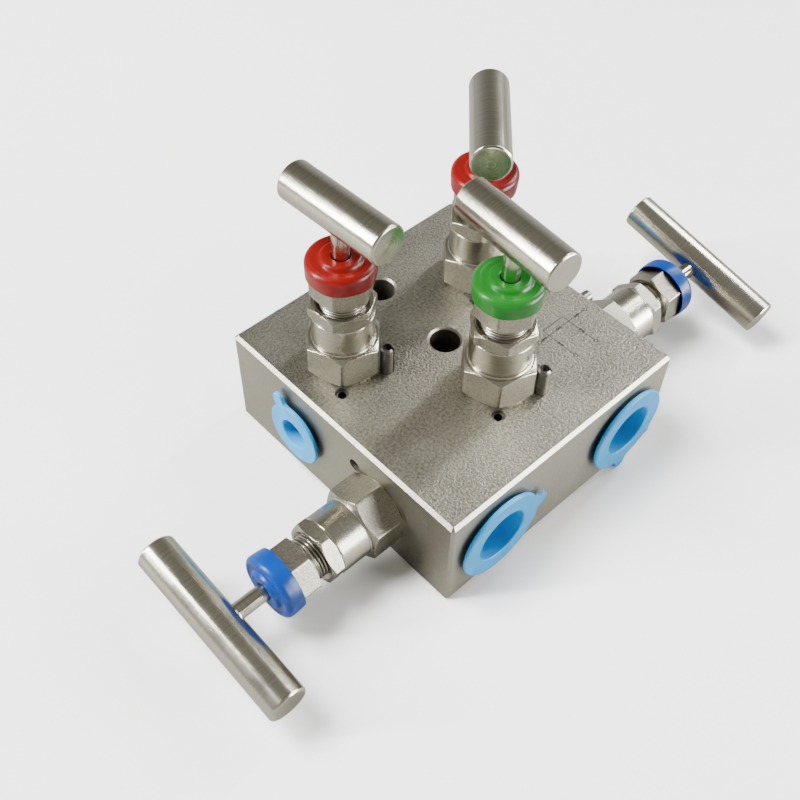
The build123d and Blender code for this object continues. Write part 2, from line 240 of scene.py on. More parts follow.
def soften(rows, reach, closed):
    """Rounds every corner of a profile.

    The two runs that meet at corner P are cut back to A and B, by reach or by LONGEST_CUT of the shorter run,
    and (1-t)^2 A + 2t(1-t) P + t^2 B joins them. A guard row just outside each cut keeps the flats flat.
    Returns the rows in groups, one group a corner, and how worn each row is.
    """
    back = np.roll(rows, 1, axis=0) - rows
    ahead = np.roll(rows, -1, axis=0) - rows
    back_length = np.linalg.norm(back, axis=-1, keepdims=True) + 1e-9
    ahead_length = np.linalg.norm(ahead, axis=-1, keepdims=True) + 1e-9
    back, ahead = back / back_length, ahead / ahead_length
    wanted = np.broadcast_to(np.asarray(reach, float).reshape(-1, 1, 1), (len(rows), 1, 1))
    cut = np.minimum(wanted, LONGEST_CUT * np.minimum(back_length, ahead_length))
    t = np.linspace(0, 1, CORNER_STEPS)[None, :, None, None]
    start, corner, end = (rows + back * cut)[:, None], rows[:, None], (rows + ahead * cut)[:, None]
    curve = (1 - t) ** 2 * start + 2 * t * (1 - t) * corner + t**2 * end
    before, after = (rows + GUARD * back * cut)[:, None], (rows + GUARD * ahead * cut)[:, None]
    groups = np.concatenate([before, curve, after], axis=1)
    bent = np.clip(np.linalg.norm(back + ahead, axis=-1), 0, 1)[:, None, :]
    bell = np.concatenate([[0], np.sin(np.linspace(0.5, np.pi - 0.5, CORNER_STEPS)), [0]])[None, :, None]
    worn = bent * bell
    if not closed:
        groups[0], worn[0] = rows[0], 0
        groups[-1], worn[-1] = rows[-1], 0
    return groups, worn


square_corner = profile(around(), [(1, 0), (2, 0), (2, 1)])
print("each corner becomes", soften(square_corner, 0.1, True)[0].shape[1], "rows")


# %% From rows to a mesh
def surface(name, points, worn, kinds, closed, materials):
    """Joins a grid of points (rows by angles by 3, metres) into faces that look outwards.

    The last angle meets the first. A closed grid's last row meets its first. The UV map holds the turn
    (0 to 1) and the mean distance along the profile in millimetres. The attribute worn is 1 on rounded edges,
    or on a thread's ridge. kinds gives each run's material by its number in materials.
    """
    rows, cols = points.shape[:2]
    i = np.arange(rows if closed else rows - 1)[:, None]
    j = np.arange(cols)[None, :]
    below, above, left, right = i * cols, ((i + 1) % rows) * cols, j, (j + 1) % cols
    faces = np.stack(np.broadcast_arrays(below + left, below + right, above + right, above + left), axis=-1)
    mesh = bpy.data.meshes.new(name)
    mesh.from_pydata(points.reshape(-1, 3), [], faces.reshape(-1, 4).tolist())
    steps = np.linalg.norm(np.roll(points, -1, axis=0) - points, axis=-1).mean(axis=1)
    along = np.concatenate([[0], np.cumsum(steps)]) / MM
    u = np.stack(np.broadcast_arrays(j, j + 1, j + 1, j + 0 * i), axis=-1) / cols
    v = np.stack(np.broadcast_arrays(along[i], along[i], along[i + 1], along[i + 1] + 0 * j), axis=-1)
    uv = mesh.uv_layers.new(name="UVMap")
    uv.data.foreach_set("uv", np.stack([np.broadcast_to(u, v.shape), v], axis=-1).ravel())
    mark = mesh.attributes.new("worn", "FLOAT", "POINT")
    mark.data.foreach_set("value", worn.astype(np.float32).ravel())
    mesh.polygons.foreach_set("use_smooth", np.ones(len(mesh.polygons), bool))
    mesh.polygons.foreach_set("material_index", np.repeat(kinds, cols).astype(np.int32))
    for material in materials:
        mesh.materials.append(material)
    if not closed:
        shell = bmesh.new()
        shell.from_mesh(mesh)
        bmesh.ops.remove_doubles(shell, verts=shell.verts, dist=1e-6)
        shell.to_mesh(mesh)
        shell.free()
    piece = bpy.data.objects.new(name, mesh)
    bpy.context.scene.collection.objects.link(piece)
    return piece


def placed(place, rows, angle):
    """Foot + radius cos(angle) across + radius sin(angle) up + height out, for every row and angle."""
    foot, across, up, out = place
    radius, height = rows[..., 0:1] * MM, rows[..., 1:2] * MM
    turn = np.broadcast_to(angle, rows.shape[:-1])[..., None]
    return foot + radius * np.cos(turn) * across + radius * np.sin(turn) * up + height * out


def turned(name, place, rows, angle, materials, reach=0.12, closed=True, flats=(), extra=None):
    """A turned piece from its profile rows.

    flats lists the runs that take the second material. extra is (corner, (rows, wear)): ready rows that
    follow that corner and take the last material.
    """
    groups, worn = soften(profile(angle, rows), reach, closed)
    size = groups.shape[1]
    grid = groups.reshape(-1, *groups.shape[2:])
    worn = np.broadcast_to(worn, groups.shape[:3]).reshape(-1, len(angle))
    kinds = np.isin(np.arange(len(grid)), [run * size + size - 1 for run in flats]).astype(int)
    if extra:
        corner, (ridges, near) = extra
        cut = (corner + 1) * size
        grid = np.concatenate([grid[:cut], ridges, grid[cut:]])
        worn = np.concatenate([worn[:cut], near, worn[cut:]])
        kinds = np.concatenate([kinds[:cut], np.full(len(ridges), len(materials) - 1), kinds[cut:]])
    kinds = kinds if closed else kinds[:-1]
    return surface(name, placed(place, grid, angle), worn, kinds, closed, materials)


print("turned pieces have", len(around()), "columns")

# %% [markdown]
# ## Effects that several finishes share
# Four effects return in many finishes: the fine rings a lathe tool leaves, the speckle of blasting, the
# brighter metal of a worn edge, and the faint smudges of handling. On the block the worn-edge mask marks
# the chamfers instead, which are painted darker as shade. Each is a node group with named inputs and
# outputs, built once and given its own values in every material, so a change of grain is made in one place.

# %% Node group helper
NUMBER, VECTOR = "NodeSocketFloat", "NodeSocketVector"


def effect(name, inputs, outputs):
    """A shader group with number outputs. Its inputs are numbers with a default, or vectors where it is None.

    Returns the group, its input sockets as sources and its output sockets as targets.
    """
    group = bpy.data.node_groups.new(name, "ShaderNodeTree")
    for key, value in inputs.items():
        kind = VECTOR if value is None else NUMBER
        socket = group.interface.new_socket(key, in_out="INPUT", socket_type=kind)
        if value is not None:
            socket.default_value = value
    for key in outputs:
        group.interface.new_socket(key, in_out="OUTPUT", socket_type=NUMBER)
    entry, leave = group.nodes.new("NodeGroupInput"), group.nodes.new("NodeGroupOutput")
    return group, entry.outputs, leave.inputs


def arithmetic(tree, operation, *values, clamp=False):
    """A Math node on sockets or plain numbers; returns its output socket."""
    node = tree.nodes.new("ShaderNodeMath")
    node.operation, node.use_clamp = operation, clamp
    for slot, value in zip(node.inputs, values):
        if isinstance(value, bpy.types.NodeSocket):
            tree.links.new(value, slot)
        else:
            slot.default_value = value
    return node.outputs[0]


def noise(tree, vector=None, along=None, scale=1.0, detail=2.0, roughness=0.5):
    """A Noise node in three dimensions on a vector, or in one on a number; returns its factor."""
    node = tree.nodes.new("ShaderNodeTexNoise")
    node.noise_dimensions = "3D" if along is None else "1D"
    node.inputs["Detail"].default_value, node.inputs["Roughness"].default_value = detail, roughness
    tree.links.new(vector if along is None else along, node.inputs["Vector" if along is None else "W"])
    if isinstance(scale, bpy.types.NodeSocket):
        tree.links.new(scale, node.inputs["Scale"])
    else:
        node.inputs["Scale"].default_value = scale
    return node.outputs[0]


def remap(tree, value, low, high, to_low=0.0, to_high=1.0):
    """Stretches value from low..high to to_low..to_high and clamps it."""
    node = tree.nodes.new("ShaderNodeMapRange")
    tree.links.new(value, node.inputs["Value"])
    for key, number in (("From Min", low), ("From Max", high), ("To Min", to_low), ("To Max", to_high)):
        node.inputs[key].default_value = number
    return node.outputs[0]


print("effects are groups that put out values which vary over the surface")

# %% Turning marks
turning_marks, given, made = effect("turning_marks", {"Along": 0.0, "Rings": 12.0}, ("Height", "Shade"))
fine = noise(turning_marks, along=given["Along"], scale=given["Rings"], detail=1.0)
coarse = noise(turning_marks, along=given["Along"], scale=1.3, detail=2.0)
bands = arithmetic(turning_marks, "MULTIPLY", coarse, 0.4)
turning_marks.links.new(arithmetic(turning_marks, "ADD", fine, bands), made["Height"])
turning_marks.links.new(remap(turning_marks, coarse, 0.3, 0.7), made["Shade"])
print("turning marks take", given.keys()[:-1], "and give", made.keys()[:-1])

# %% Blasted speckle
blasted_speckle, given, made = effect(
    "blasted_speckle", {"Vector": None, "Grain": 1500.0}, ("Height", "Shade"))
pits = noise(blasted_speckle, vector=given["Vector"], scale=given["Grain"], detail=3.0, roughness=0.65)
patches = noise(blasted_speckle, vector=given["Vector"], scale=90.0, detail=2.0)
blasted_speckle.links.new(pits, made["Height"])
pitted = arithmetic(blasted_speckle, "MULTIPLY", remap(blasted_speckle, pits, 0.35, 0.65), 0.75)
patchy = arithmetic(blasted_speckle, "MULTIPLY", remap(blasted_speckle, patches, 0.3, 0.7), 0.25)
blasted_speckle.links.new(arithmetic(blasted_speckle, "ADD", pitted, patchy), made["Shade"])
print("blasted speckle takes", given.keys()[:-1], "and gives", made.keys()[:-1])

# %% Edge mask for worn edges and painted chamfer shade, and handling smudges
worn_edges_and_chamfer_shade, given, made = effect("worn_edges_and_chamfer_shade", {"Vector": None, "Worn": 0.0}, ("Mask",))
ragged = noise(worn_edges_and_chamfer_shade, vector=given["Vector"], scale=700.0, detail=3.0)
broken = remap(worn_edges_and_chamfer_shade, ragged, 0.35, 0.6, 0.45, 1.0)
worn_edges_and_chamfer_shade.links.new(arithmetic(worn_edges_and_chamfer_shade, "MULTIPLY", given["Worn"], broken, clamp=True), made["Mask"])

handling_smudge, given, made = effect("handling_smudge", {"Vector": None, "Spread": 60.0}, ("Mask",))
cloud = noise(handling_smudge, vector=given["Vector"], scale=given["Spread"], detail=4.0, roughness=0.6)
handling_smudge.links.new(remap(handling_smudge, cloud, 0.38, 0.68), made["Mask"])
print("groups:", [group.name for group in bpy.data.node_groups])

# %% [markdown]
# ## Metals
# The stainless parts share one base colour and differ in how they were cut. Turned faces carry rings that
# run round the axis, so a lamp's reflection spreads along the bar and makes the bow-tie on a faced end. The
# rings are a one-dimensional noise on the distance along the profile, from the piece's own UV map, which
# keeps them true on barrels and on end faces alike. Hexagon flats and the block's top were blasted, which
# is a speckle in object space. A worn edge is brighter and smoother than the face beside it. The thread
# reads the same attribute another way: its grooves are painted dark as shade and its ridges painted bright
# as a highlight. The block's chamfers are painted darker as shade, which dims their glint. The pins are
# duller spring steel, and the laser mark is burnt metal that no longer mirrors anything.

# %% Material helper
STEEL = (0.45, 0.43, 0.36, 1.0)


def finish(name, colour, metallic, rough):
    """A material with plain starting values; returns it, its tree, its shader and its texture coordinates."""
    material = bpy.data.materials.new(name)
    material.use_nodes = True
    tree = material.node_tree
    shader = tree.nodes["Principled BSDF"]
    shader.inputs["Base Color"].default_value = colour
    shader.inputs["Metallic"].default_value = metallic
    shader.inputs["Roughness"].default_value = rough
    return material, tree, shader, tree.nodes.new("ShaderNodeTexCoord").outputs


def use(tree, group, **wires):
    """Places an effect in a material. Wires are sockets or numbers by input name; returns its outputs."""
    node = tree.nodes.new("ShaderNodeGroup")
    node.node_tree = group
    for key, value in wires.items():
        if isinstance(value, bpy.types.NodeSocket):
            tree.links.new(value, node.inputs[key])
        else:
            node.inputs[key].default_value = value
    return node.outputs


def blend_colour(tree, amount, first, second):
    """Mixes two colours, each a socket or a plain colour, by amount; returns the colour socket."""
    node = tree.nodes.new("ShaderNodeMix")
    node.data_type = "RGBA"
    for slot, value in ((node.inputs[0], amount), (node.inputs[6], first), (node.inputs[7], second)):
        if isinstance(value, bpy.types.NodeSocket):
            tree.links.new(value, slot)
        else:
            slot.default_value = value
    return node.outputs[2]


def bump(tree, shader, heights, distance):
    """Feeds a height, times distance in metres, through a Bump node into the shader's normal."""
    node = tree.nodes.new("ShaderNodeBump")
    node.inputs["Strength"].default_value, node.inputs["Distance"].default_value = 1.0, distance
    tree.links.new(heights, node.inputs["Height"])
    tree.links.new(node.outputs[0], shader.inputs["Normal"])


def tinted(colour, by):
    """The same colour, darker or lighter by a factor."""
    return tuple(part * by for part in colour[:3]) + (1.0,)


def attribute(tree, name):
    """The piece's own attribute of that name, as a number."""
    node = tree.nodes.new("ShaderNodeAttribute")
    node.attribute_name = name
    return node.outputs["Fac"]


# %% Turned steel
def turned_metal(name, colour, rough, rings, depth):
    """Steel cut on a lathe: rings along the profile, faint shade bands, smudges, and bright worn edges."""
    material, tree, shader, coordinates = finish(name, colour, 1.0, rough)
    split = tree.nodes.new("ShaderNodeSeparateXYZ")
    tree.links.new(coordinates["UV"], split.inputs[0])
    marks = use(tree, turning_marks, Along=split.outputs["Y"], Rings=rings)
    smudge = use(tree, handling_smudge, Vector=coordinates["Object"], Spread=80.0)["Mask"]
    edge = use(tree, worn_edges_and_chamfer_shade, Vector=coordinates["Object"], Worn=attribute(tree, "worn"))["Mask"]
    banded = blend_colour(tree, marks["Shade"], tinted(colour, 0.93), tinted(colour, 1.06))
    handled = blend_colour(tree, arithmetic(tree, "MULTIPLY", smudge, 0.25), banded, tinted(colour, 0.8))
    tree.links.new(blend_colour(tree, edge, handled, tinted(colour, 1.4)), shader.inputs["Base Color"])
    dull = arithmetic(tree, "ADD", rough, arithmetic(tree, "MULTIPLY", smudge, 0.08))
    rubbed = arithmetic(tree, "MULTIPLY", edge, 0.06)
    tree.links.new(arithmetic(tree, "SUBTRACT", dull, rubbed, clamp=True), shader.inputs["Roughness"])
    bump(tree, shader, marks["Height"], depth)
    return material


turned_steel = turned_metal("turned_steel", tinted(STEEL, 1.1), 0.22, 14.0, 0.000007)
handle_steel = turned_metal("handle_steel", tinted(STEEL, 1.15), 0.165, 16.0, 0.000005)
polished_steel = turned_metal("polished_steel", tinted(STEEL, 1.25), 0.13, 18.0, 0.000003)
faced_steel = turned_metal("faced_steel", tinted(STEEL, 1.15), 0.19, 13.0, 0.00002)
# Painted light: from the worn attribute, the grooves are painted near black as shade and the ridges painted
# bright as a highlight.
thread_steel_painted_light, tree, shader, _ = finish("thread_steel_painted_light", STEEL, 1.0, 0.28)
ridge = remap(tree, attribute(tree, "worn"), 0.25, 0.85)
tree.links.new(blend_colour(tree, ridge, tinted(STEEL, 0.2), tinted(STEEL, 1.3)), shader.inputs["Base Color"])
tree.links.new(remap(tree, ridge, 0.0, 1.0, 0.45, 0.2), shader.inputs["Roughness"])
for material in (turned_steel, handle_steel, polished_steel, faced_steel, thread_steel_painted_light):
    print("turned finish:", material.name, "with", len(material.node_tree.nodes), "nodes")


# %% Blasted flats and the block
def blasted_metal(name, colour, rough, grain, depth):
    """Steel blasted with fine grit: speckle in colour, roughness and height, with the same worn edges."""
    material, tree, shader, coordinates = finish(name, colour, 1.0, rough)
    speckle = use(tree, blasted_speckle, Vector=coordinates["Object"], Grain=grain)
    edge = use(tree, worn_edges_and_chamfer_shade, Vector=coordinates["Object"], Worn=attribute(tree, "worn"))["Mask"]
    grainy = blend_colour(tree, speckle["Shade"], tinted(colour, 0.6), tinted(colour, 1.16))
    tree.links.new(blend_colour(tree, edge, grainy, tinted(colour, 1.45)), shader.inputs["Base Color"])
    dull = remap(tree, speckle["Shade"], 0.0, 1.0, rough + 0.07, rough - 0.07)
    tree.links.new(dull, shader.inputs["Roughness"])
    bump(tree, shader, speckle["Height"], depth)
    return material


blasted_flats = blasted_metal("blasted_flats", tinted(STEEL, 0.94), 0.34, 1900.0, 0.00009)

block_steel, tree, shader, coordinates = finish("block_steel", STEEL, 1.0, 0.38)
facing = tree.nodes.new("ShaderNodeSeparateXYZ")
tree.links.new(coordinates["Normal"], facing.inputs[0])
upward = remap(tree, facing.outputs["Z"], 0.9, 0.99)
widest = arithmetic(tree, "ABSOLUTE", facing.outputs["X"])
for axis in "YZ":
    widest = arithmetic(tree, "MAXIMUM", widest, arithmetic(tree, "ABSOLUTE", facing.outputs[axis]))
chamfered = remap(tree, widest, 0.98, 0.9)
speckle = use(tree, blasted_speckle, Vector=coordinates["Object"], Grain=1250.0)
smudge = use(tree, handling_smudge, Vector=coordinates["Object"], Spread=35.0)["Mask"]
edge = use(tree, worn_edges_and_chamfer_shade, Vector=coordinates["Object"], Worn=chamfered)["Mask"]
on_top = blend_colour(tree, speckle["Shade"], tinted(STEEL, 0.36), tinted(STEEL, 1.04))
on_sides = blend_colour(tree, speckle["Shade"], tinted(STEEL, 0.86), tinted(STEEL, 0.98))
on_sides = blend_colour(tree, arithmetic(tree, "MULTIPLY", smudge, 0.5), on_sides, tinted(STEEL, 0.84))
faces = blend_colour(tree, upward, on_sides, on_top)
# Painted shade: the chamfers take a darker steel than the faces, broken by noise, which dims their glint.
tree.links.new(blend_colour(tree, edge, faces, tinted(STEEL, 0.85)), shader.inputs["Base Color"])
dull = remap(tree, speckle["Shade"], 0.0, 1.0, 0.47, 0.36)
dull = arithmetic(tree, "SUBTRACT", dull, arithmetic(tree, "MULTIPLY", chamfered, 0.04))
dull = arithmetic(tree, "ADD", dull, arithmetic(tree, "MULTIPLY", smudge, 0.05))
tree.links.new(dull, shader.inputs["Roughness"])
relief = arithmetic(tree, "MULTIPLY", speckle["Height"], remap(tree, upward, 0.0, 1.0, 0.25, 1.0))
bump(tree, shader, relief, 0.0003)
print("the block's finish has", len(tree.nodes), "nodes: a blasted top, ground sides and plain cut chamfers")

# %% Pins and marking
pin_steel, tree, shader, coordinates = finish("pin_steel", (0.30, 0.29, 0.27, 1), 1.0, 0.3)
speckle = use(tree, blasted_speckle, Vector=coordinates["Object"], Grain=1800.0)
spring_colour = blend_colour(tree, speckle["Shade"], (0.20, 0.19, 0.175, 1), (0.38, 0.37, 0.35, 1))
tree.links.new(spring_colour, shader.inputs["Base Color"])
tree.links.new(remap(tree, speckle["Shade"], 0.0, 1.0, 0.42, 0.26), shader.inputs["Roughness"])
bump(tree, shader, speckle["Height"], 0.00004)

laser_mark, tree, shader, coordinates = finish("laser_mark", (0.10, 0.095, 0.085, 1), 0.6, 0.55)
burnt = use(tree, blasted_speckle, Vector=coordinates["Object"], Grain=2600.0)
burnt_colour = blend_colour(tree, burnt["Shade"], (0.03, 0.028, 0.025, 1), (0.12, 0.115, 0.10, 1))
tree.links.new(burnt_colour, shader.inputs["Base Color"])
print("small finishes:", pin_steel.name, laser_mark.name)

# %% [markdown]
# ## Plastics
# The dust caps are soft moulded PVC: strong colour, a wet-looking gloss and a little light passing through
# the thin skirt. The port plugs are polyethylene, paler and more like wax. The packing is white PTFE. A
# slow waviness in the height breaks the highlights the way a moulded skin does, and a faint grain keeps
# them from looking like glass.

# %% Moulded plastics
def moulded(name, colour, rough, glow, wave):
    """Moulded plastic: slow waves and a faint grain in its height, and slight clouds in its colour."""
    material, tree, shader, coordinates = finish(name, colour, 0.0, rough)
    cloud = use(tree, handling_smudge, Vector=coordinates["Object"], Spread=110.0)["Mask"]
    grain = use(tree, blasted_speckle, Vector=coordinates["Object"], Grain=1600.0)
    clouded = blend_colour(tree, cloud, tinted(colour, 0.88), tinted(colour, 1.1))
    tree.links.new(clouded, shader.inputs["Base Color"])
    dull = remap(tree, grain["Shade"], 0.0, 1.0, rough + 0.015, rough - 0.015)
    tree.links.new(dull, shader.inputs["Roughness"])
    slow = noise(tree, vector=coordinates["Object"], scale=160.0, detail=1.0)
    faint = arithmetic(tree, "MULTIPLY", grain["Height"], 0.01)
    bump(tree, shader, arithmetic(tree, "ADD", slow, faint), wave)
    shader.inputs["Specular IOR Level"].default_value = 0.35
    shader.inputs["Subsurface Weight"].default_value = glow
    shader.inputs["Subsurface Radius"].default_value = tuple(0.4 + part for part in colour[:3])
    shader.inputs["Subsurface Scale"].default_value = 0.0015
    return material


PLASTICS = {
    "red": moulded("red_cap", (0.132, 0.0018, 0.0015, 1), 0.29, 0.06, 0.00016),
    "green": moulded("green_cap", (0.0052, 0.105, 0.008, 1), 0.29, 0.06, 0.00016),
    "blue": moulded("blue_cap", (0.0003, 0.033, 0.20, 1), 0.29, 0.06, 0.00016),
    "port": moulded("port_cap_plastic", (0.021, 0.27, 0.57, 1), 0.38, 0.2, 0.0002),
}
ptfe = moulded("ptfe", (0.82, 0.82, 0.80, 1), 0.45, 0.2, 0.0001)
print("plastics:", sorted(PLASTICS))

# %% [markdown]
# ## The block, pins and hidden pieces
# The block's shape is right as it came from the frame: flat faces, chamfers, drilled holes. A CAD node
# keeps its mesh and only gets a better material, which is the safest way for a piece whose form is plain.

# %% Dress the CAD nodes
PLAIN_FINISHES = {"manifold_block": block_steel, "lock_pins": pin_steel, "bonnet_seals": ptfe}
for name in VALVES:
    PLAIN_FINISHES[name + "_needle"] = polished_steel
    PLAIN_FINISHES[name + "_packing"] = ptfe
    PLAIN_FINISHES[name + "_thrust_ring"] = turned_steel
for node, material in PLAIN_FINISHES.items():
    for slot in frame["nodes"][node].material_slots:
        slot.material = material
print("dressed", len(PLAIN_FINISHES), "CAD nodes")

# %% [markdown]
# ## Bonnets
# The bonnet screws into the block and holds the whole valve. The real one is hexagon bar with both ends of
# its corners turned off at 30 degrees. A round foot seats on the block, and above the hexagon the bar is
# turned down to a plain barrel. It could be cut from a prism with booleans, but one closed profile that
# goes up the outside and back down the bore has clean edges, and the flats take the blasted finish. In the
# sizes below R is a radius, FLATS a width across flats, and LOW and TOP are heights above the block's face,
# all in millimetres.

# %% Bonnet sizes and pieces
SHANK_R, SHANK_LOW = 7.94, -8.7
FOOT_R = 9.9
BONNET_FLATS, HEX_LOW, HEX_TOP = 20.0, 0.3, 10.9
BARREL_R, BONNET_TOP = 9.0, 20.5
THREAD_BORE_R = 6.64
PACKING_R, PACKING_LOW, PACKING_TOP = 5.7, 3.5, 14.0
STEM_BORE_R = 2.55
POCKET_R, POCKET_TOP = 3.35, -1.5


def bonnet(name):
    """Shank, foot, hexagon and barrel outside; thread bore, packing bore and needle pocket inside."""
    turn = VALVES[name]["bonnet"]
    angle = around(turn)
    rows = [
        (POCKET_R, SHANK_LOW), (SHANK_R, SHANK_LOW), (SHANK_R, -0.05), (FOOT_R, 0.0),
        *hexagon_rows(angle, BONNET_FLATS, HEX_LOW, HEX_TOP, turn),
        (BARREL_R, HEX_TOP + 0.05), (BARREL_R, BONNET_TOP), (THREAD_BORE_R, BONNET_TOP),
        (THREAD_BORE_R, PACKING_TOP), (PACKING_R, PACKING_TOP), (PACKING_R, PACKING_LOW),
        (STEM_BORE_R, PACKING_LOW), (STEM_BORE_R, POCKET_TOP), (POCKET_R, POCKET_TOP)]
    barrel_rows, flat_run = [8, 9], 5
    reach = np.full(len(rows), 0.12)
    reach[barrel_rows] = 0.35
    finishes = [turned_steel, blasted_flats]
    return turned(name + "_bonnet_body", valve_place(name), rows, angle, finishes, reach, flats=(flat_run,))


def dress(piece, node, body="manifold"):
    """The piece stands for a CAD node and rides on its body."""
    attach(piece, body)
    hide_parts(node)
    return piece


for name in VALVES:
    piece = dress(bonnet(name), name + "_bonnet")
print("a bonnet has", len(piece.data.polygons), "faces")

# %% [markdown]
# ## Lock nuts
# A thin hexagon nut locks the gland screw after the packing is set. Both ends are turned off at 30 degrees
# and the bore is countersunk, which leaves the dark ring seen round the thread. The bonnet's hexagon rows
# serve here too, so only the bore is new.

# %% Lock nuts
NUT_FLATS = 17.3
NUT_TOP = 24.7
COUNTERSINK = 1.1


def lock_nut(name):
    """A thin hexagon with both ends turned off and a countersunk bore."""
    turn = VALVES[name]["lock_nut"]
    angle = around(turn)
    rows = hexagon_rows(angle, NUT_FLATS, BONNET_TOP, NUT_TOP, turn)
    rows += [(THREAD_BORE_R + COUNTERSINK, NUT_TOP), (THREAD_BORE_R, NUT_TOP - COUNTERSINK),
             (THREAD_BORE_R, BONNET_TOP)]
    flat_run = 1
    finishes = [turned_steel, blasted_flats]
    return turned(name + "_nut", valve_place(name), rows, angle, finishes, 0.1, flats=(flat_run,))


for name in VALVES:
    piece = dress(lock_nut(name), name + "_lock_nut")
print("a lock nut has", len(piece.data.polygons), "faces")

# %% [markdown]
# ## Gland screws and their thread
# The gland screw presses the packing down. Above the lock nut a few turns of its thread show, then a plain
# neck and the hexagon head. A thread is the same grid again: its radius is a wave of the height minus the
# angle's share of the pitch, so the ridge climbs one pitch a turn and meets itself after each one. How near
# each point is to the ridge is kept in the worn attribute, from which the thread's finish paints the grooves
# dark as shade and the ridges bright as a highlight.

# %% Gland screws
GLAND_THREAD_R = 6.58
GLAND_LOW = 14.05
GLAND_FLATS = 16.0
SCREW_BORE_R, SCREW_BORE_TOP = 4.05, 29.0
THREAD_PITCH = 1.0
THREAD_DEPTH = 0.5
THREAD_LOW, THREAD_TOP = 22.0, 27.2
THREAD_ROWS_A_TURN = 14
THREAD_CLEARANCE, THREAD_FADE = 0.02, 0.35
NECK_R = GLAND_THREAD_R - 0.55
HEAD_LOW = 28.2
HEAD_TOP = 38.4


def thread_rows(angle, low, high, radius):
    """Radius - clearance - depth * groove, over heights low to high.

    groove = ((1 + cos(2 pi (height / pitch - angle / 2 pi))) / 2) ^ 0.8, which fades out at the top. Also
    gives how near each point is to the ridge: 1 on it and 0 in the groove.
    """
    height = np.linspace(low, high, int((high - low) / THREAD_PITCH * THREAD_ROWS_A_TURN))[:, None]
    climb = height / THREAD_PITCH - angle[None, :] / (2 * np.pi)
    groove = (0.5 + 0.5 * np.cos(2 * np.pi * climb)) ** 0.8 * np.clip((high - height) / THREAD_FADE, 0, 1)
    ridged = radius - THREAD_CLEARANCE - THREAD_DEPTH * groove
    return np.stack(np.broadcast_arrays(ridged, height), axis=-1), 1 - groove


def gland_screw(name):
    """Threaded shank, undercut neck and hexagon head, hollow for the spindle."""
    turn = VALVES[name]["gland"]
    angle = around(turn)
    rows = [
        (SCREW_BORE_R, GLAND_LOW), (GLAND_THREAD_R, GLAND_LOW), (GLAND_THREAD_R, THREAD_LOW),
        (NECK_R, THREAD_TOP + 0.2), (NECK_R, HEAD_LOW),
        *hexagon_rows(angle, GLAND_FLATS, HEAD_LOW, HEAD_TOP, turn),
        (STEM_BORE_R, HEAD_TOP), (STEM_BORE_R, SCREW_BORE_TOP), (SCREW_BORE_R, SCREW_BORE_TOP)]
    thread = thread_rows(angle, THREAD_LOW + 0.1, THREAD_TOP, GLAND_THREAD_R)
    thread_corner, flat_run = 2, 6
    finishes = [turned_steel, blasted_flats, thread_steel_painted_light]
    return turned(name + "_gland", valve_place(name), rows, angle, finishes, flats=(flat_run,),
                  extra=(thread_corner, thread))


for name in VALVES:
    piece = dress(gland_screw(name), name + "_gland_screw")
in_view = (THREAD_TOP - NUT_TOP) / THREAD_PITCH
print("a gland screw has", len(piece.data.polygons), "faces and shows", round(in_view, 1), "turns of thread")

# %% [markdown]
# ## Dust caps
# A soft cap keeps grit out of the spindle's thread, and its colour tells the valves apart: red for the
# vents, green for the equalizer, blue for the two block valves. It has a rounded rim, a flat band, a raised
# boss and a skirt that the hexagon's corners push out a little, so its lower rim swings in and out six
# times. That could be sculpted, but one cosine added to the skirt's radius says the same.

# %% Dust caps
CAP_R, CAP_LOW, CAP_TOP = 9.8, 34.7, 40.3
CAP_INSIDE_R = 9.3
CAP_BORE_R = 2.62
RIM_R = 1.7
RIM_STEPS = 7
BAND_HEIGHT = 40.12
CORNER_BULGE = 0.14


def dust_cap(name):
    """Closed profile: skirt, rounded rim, band, boss and bore.

    The skirt bulges by CORNER_BULGE times the cosine of six times the angle from the hexagon's corner.
    """
    turn = VALVES[name]["gland"]
    angle = around(turn)
    bulge = CORNER_BULGE * np.cos(6 * (angle - np.radians(turn)))
    lean = np.radians(np.linspace(0, 90, RIM_STEPS))
    rim = list(zip(CAP_R - RIM_R + RIM_R * np.cos(lean), CAP_TOP - RIM_R + RIM_R * np.sin(lean)))
    skirt = [(CAP_INSIDE_R, CAP_LOW), (9.62 + bulge, CAP_LOW), (9.76 + 0.6 * bulge, 36.4)]
    band = [(7.3, BAND_HEIGHT), (6.1, BAND_HEIGHT)]
    boss = [(5.6, 40.95), (5.1, 41.2), (3.0, 41.1), (CAP_BORE_R, 40.9)]
    rows = [*skirt, *rim, *band, *boss, (CAP_BORE_R, HEAD_TOP), (CAP_INSIDE_R, HEAD_TOP)]
    reach = [0.12, 0.2, 0.6, *np.full(RIM_STEPS, 0.2), 0.3, 0.3, 0.25, 0.25, 0.2, 0.15, 0.1, 0.1]
    return turned(name + "_cap", valve_place(name), rows, angle, [PLASTICS[VALVES[name]["cap"]]], reach)


for name in VALVES:
    piece = dress(dust_cap(name), name + "_dust_cap")
print("a dust cap has", len(piece.data.polygons), "faces")

# %% [markdown]
# ## Spindles and T-handles
# The spindle's polished stem comes up through the cap and ends inside the handle, a plain bar pressed on
# across it. Both ride on the spindle's body, so they turn and climb together. A plain cylinder with a bevel
# would give the bar's shape, but the rings need the grid's UV map, which runs along the profile. From them
# come the long highlights and the bow-tie on each faced end.

# %% Spindles
STEM_R = 2.5
SCREW_R, SCREW_LOW, SCREW_TOP = 4.0, 15.0, 24.0


